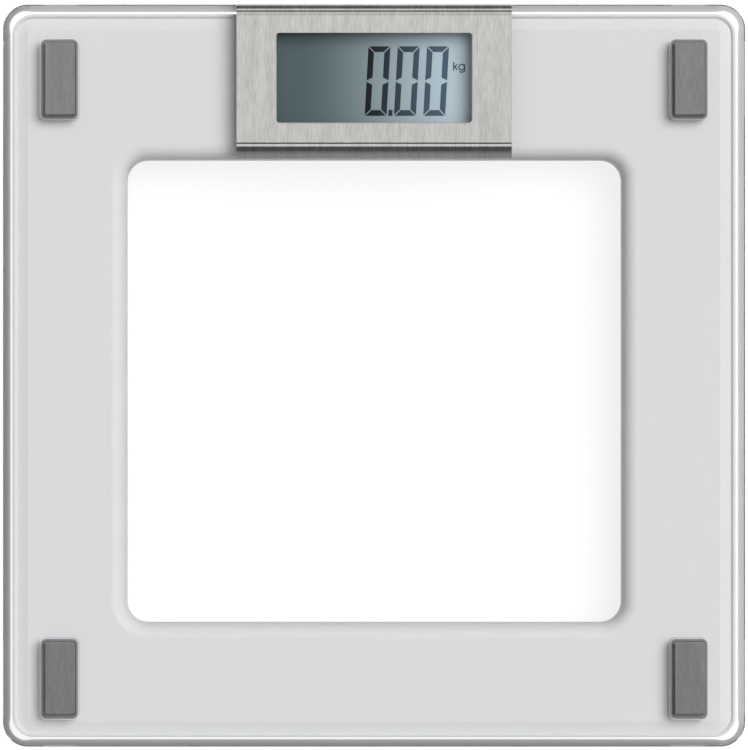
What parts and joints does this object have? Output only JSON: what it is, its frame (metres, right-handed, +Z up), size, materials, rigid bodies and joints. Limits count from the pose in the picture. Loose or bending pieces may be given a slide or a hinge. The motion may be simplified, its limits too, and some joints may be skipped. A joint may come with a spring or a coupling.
{
  "type": "personal scale",
  "caption": "Flat electronic floor scale: a clear glass platform on a light grey ring frame, with a brushed display cover at the rear edge and sprung feet.",
  "frame": {"origin": "on the floor under the middle of the platform", "axes": "+Z up; +Y from the person's side toward the display; +X to the right of a person facing the display"},
  "size_m": [0.3, 0.3, 0.0364],
  "materials": {
    "platform_glass": "clear toughened glass with a polished edge",
    "frame_plastic": "moulded, silvery light grey",
    "base_plastic": "moulded, fine grained grey",
    "brushed_cover": "lengthwise brushed",
    "brushed_plate": "lengthwise brushed with a bright bevel",
    "seal_rubber": "dark moulded rubber",
    "spring_steel": "nickel-plated spring steel",
    "fastener_steel": "zinc-plated steel",
    "tray_plastic": "moulded black",
    "gauge_compound": "white sealing compound",
    "wire_jacket": "light grey cable sheath",
    "foot_plastic": "moulded grey",
    "foot_rubber": "moulded with ring grooves",
    "housing_plastic": "moulded, fine grained grey",
    "lcd_glass": "grey-green reflective display cell",
    "lcd_ink": "dark display bars",
    "foam_black": "thin black foam",
    "holder_plastic": "moulded white",
    "zebra_rubber": "layered contact rubber",
    "board_laminate": "green printed board",
    "chip_resin": "black potting resin",
    "nickel": "nickel-plated",
    "can_aluminium": "drawn can",
    "header_plastic": "moulded white",
    "tape_black": "black double-sided tape",
    "switch_plastic": "moulded black"
  },
  "bodies": {
    "platform": {"carrier_frame": "frame_plastic", "base_cover": "base_plastic", "base_screws": "fastener_steel", "platform_glass": "platform_glass", "plate_nuts": "fastener_steel", "tray_screws": "fastener_steel", "display_cover": "brushed_cover", "cover_tape": "tape_black", "cover_screws": "fastener_steel", "display_housing": "housing_plastic", "housing_screws": "fastener_steel", "lcd_cell": "lcd_glass", "lcd_segments": "lcd_ink", "lcd_gasket": "foam_black", "lcd_holder": "holder_plastic", "zebra_strips": "zebra_rubber", "circuit_board": "board_laminate", "board_screws": "fastener_steel", "chip_blob": "chip_resin", "crystal_can": "nickel", "capacitors": "can_aluminium", "wire_headers": "header_plastic", "coin_cell": "nickel", "battery_contact_spring": "nickel", "battery_contact_side": "nickel", "unit_switch_body": "switch_plastic", "corner_plate_front_left": "brushed_plate", "plate_seal_front_left": "seal_rubber", "load_cell_front_left": "spring_steel", "cell_tray_front_left": "tray_plastic", "strain_gauge_front_left": "gauge_compound", "sensor_wire_front_left": "wire_jacket", "corner_plate_front_right": "brushed_plate", "plate_seal_front_right": "seal_rubber", "load_cell_front_right": "spring_steel", "cell_tray_front_right": "tray_plastic", "strain_gauge_front_right": "gauge_compound", "sensor_wire_front_right": "wire_jacket", "corner_plate_rear_left": "brushed_plate", "plate_seal_rear_left": "seal_rubber", "load_cell_rear_left": "spring_steel", "cell_tray_rear_left": "tray_plastic", "strain_gauge_rear_left": "gauge_compound", "sensor_wire_rear_left": "wire_jacket", "corner_plate_rear_right": "brushed_plate", "plate_seal_rear_right": "seal_rubber", "load_cell_rear_right": "spring_steel", "cell_tray_rear_right": "tray_plastic", "strain_gauge_rear_right": "gauge_compound", "sensor_wire_rear_right": "wire_jacket"},
    "battery_door": {"battery_door": "housing_plastic"},
    "unit_switch": {"unit_switch_slider": "switch_plastic"},
    "foot_front_left": {"foot_front_left": "foot_plastic", "foot_pad_front_left": "foot_rubber"},
    "foot_front_right": {"foot_front_right": "foot_plastic", "foot_pad_front_right": "foot_rubber"},
    "foot_rear_left": {"foot_rear_left": "foot_plastic", "foot_pad_rear_left": "foot_rubber"},
    "foot_rear_right": {"foot_rear_right": "foot_plastic", "foot_pad_rear_right": "foot_rubber"}
  },
  "joints": [
    {"name": "foot_front_left_play", "type": "slide", "parent": "platform", "child": "foot_front_left", "axis": [0, 0, 1], "range_m": [-0.0008, 0]},
    {"name": "foot_front_right_play", "type": "slide", "parent": "platform", "child": "foot_front_right", "axis": [0, 0, 1], "range_m": [-0.0008, 0]},
    {"name": "foot_rear_left_play", "type": "slide", "parent": "platform", "child": "foot_rear_left", "axis": [0, 0, 1], "range_m": [-0.0008, 0]},
    {"name": "foot_rear_right_play", "type": "slide", "parent": "platform", "child": "foot_rear_right", "axis": [0, 0, 1], "range_m": [-0.0008, 0]},
    {"name": "battery_door_hinge", "type": "hinge", "parent": "platform", "child": "battery_door", "pos_m": [-0.026, 0.1336, 0.0135], "axis": [1, 0, 0], "range_deg": [0, 90]},
    {"name": "unit_switch_slide", "type": "slide", "parent": "platform", "child": "unit_switch", "axis": [1, 0, 0], "range_m": [0, 0.004]}
  ]
}
